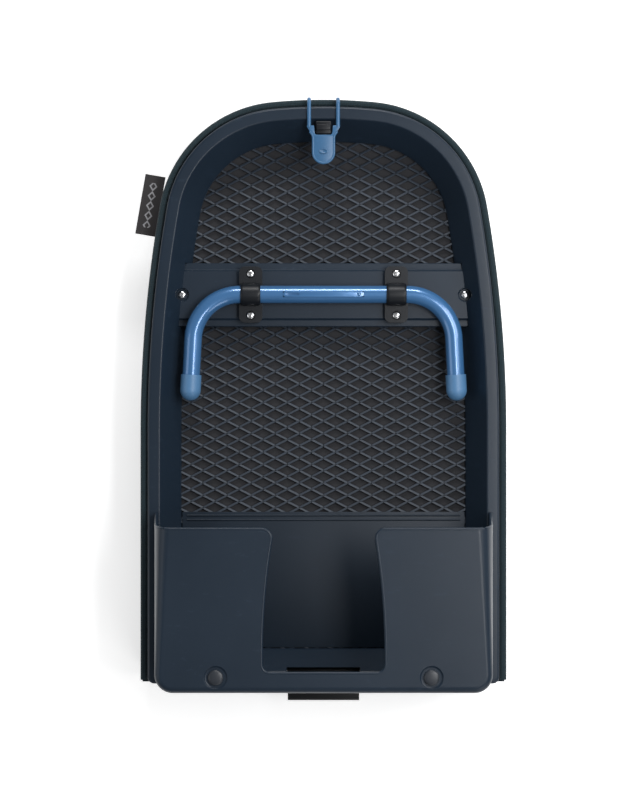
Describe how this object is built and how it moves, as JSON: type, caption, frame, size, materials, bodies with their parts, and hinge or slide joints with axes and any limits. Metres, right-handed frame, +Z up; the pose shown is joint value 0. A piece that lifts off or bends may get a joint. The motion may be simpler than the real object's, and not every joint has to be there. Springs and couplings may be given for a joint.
{
  "type": "folding tabletop ironing board",
  "caption": "Padded table-top ironing board folded in half on a double hinge, with swing-out U legs, a hooked latch and an open-fronted pocket for an iron.",
  "frame": {"origin": "middle of the shut board's outline on the plane that the rear half's rim lies on", "axes": "+X to the right, +Y from the fold end to the nose, +Z up from the rear half to the front half and the pocket"},
  "size_m": [0.3368, 0.5479, 0.164],
  "materials": {
    "frame_shell": "satin dark slate",
    "mesh_metal": "matt dark grey",
    "felt": "felt",
    "cover_cloth": "woven dark teal",
    "plate_metal": "satin dark slate",
    "chrome_screws": "bright",
    "saddle_plastic": "satin",
    "steel_pins": "brushed",
    "pocket_plastic": "satin",
    "bumper_rubber": "matt",
    "shield_metal": "satin",
    "label_weave": "woven",
    "blue_tube": "gloss blue",
    "blue_caps": "matt blue",
    "hinge_plastic": "satin black",
    "blue_strap": "satin blue"
  },
  "bodies": {
    "rear_half": {"rear_frame": "frame_shell", "rear_mesh": "mesh_metal", "rear_pad": "felt", "rear_cover": "cover_cloth", "rear_cross_plate": "plate_metal", "rear_plate_screws": "chrome_screws", "rear_saddle_left": "saddle_plastic", "rear_saddle_right": "saddle_plastic", "rear_saddle_screws": "chrome_screws", "rear_hinge_pin": "steel_pins", "latch_bracket": "saddle_plastic", "latch_pin": "steel_pins"},
    "hinge_link": {"hinge_link": "hinge_plastic"},
    "front_half": {"front_frame": "frame_shell", "front_mesh": "mesh_metal", "front_pad": "felt", "front_cover": "cover_cloth", "front_cross_plate": "plate_metal", "front_plate_screws": "chrome_screws", "front_saddle_left": "saddle_plastic", "front_saddle_right": "saddle_plastic", "front_saddle_screws": "chrome_screws", "front_hinge_pin": "steel_pins", "iron_pocket": "pocket_plastic", "pocket_screws": "chrome_screws", "pocket_bumpers": "bumper_rubber", "heat_shield": "shield_metal", "latch_keeper": "saddle_plastic", "label_tag": "label_weave"},
    "rear_leg": {"rear_leg_tube": "blue_tube", "rear_leg_caps": "blue_caps", "rear_leg_spring": "blue_tube"},
    "front_leg": {"front_leg_tube": "blue_tube", "front_leg_caps": "blue_caps", "front_leg_spring": "blue_tube"},
    "latch": {"latch_strap": "blue_strap"}
  },
  "joints": [
    {"name": "fold_lower", "type": "hinge", "parent": "rear_half", "child": "hinge_link", "pos_m": [0, -0.24695, 0.03], "axis": [1, 0, 0], "range_deg": [0, 90]},
    {"name": "fold_upper", "type": "hinge", "parent": "hinge_link", "child": "front_half", "pos_m": [0, -0.24695, 0.051], "axis": [1, 0, 0], "range_deg": [0, 90]},
    {"name": "rear_leg_swing", "type": "hinge", "parent": "rear_half", "child": "rear_leg", "pos_m": [0, 0.09505, 0.013], "axis": [1, 0, 0], "range_deg": [0, 95]},
    {"name": "front_leg_swing", "type": "hinge", "parent": "front_half", "child": "front_leg", "pos_m": [0, 0.09505, 0.068], "axis": [-1, 0, 0], "range_deg": [0, 95]},
    {"name": "latch_swing", "type": "hinge", "parent": "rear_half", "child": "latch", "pos_m": [0, 0.27055, 0.017], "axis": [-1, 0, 0], "range_deg": [0, 90]}
  ],
  "couplings": [
    {"joint": "fold_upper", "follows": "fold_lower", "ratio": 1}
  ]
}
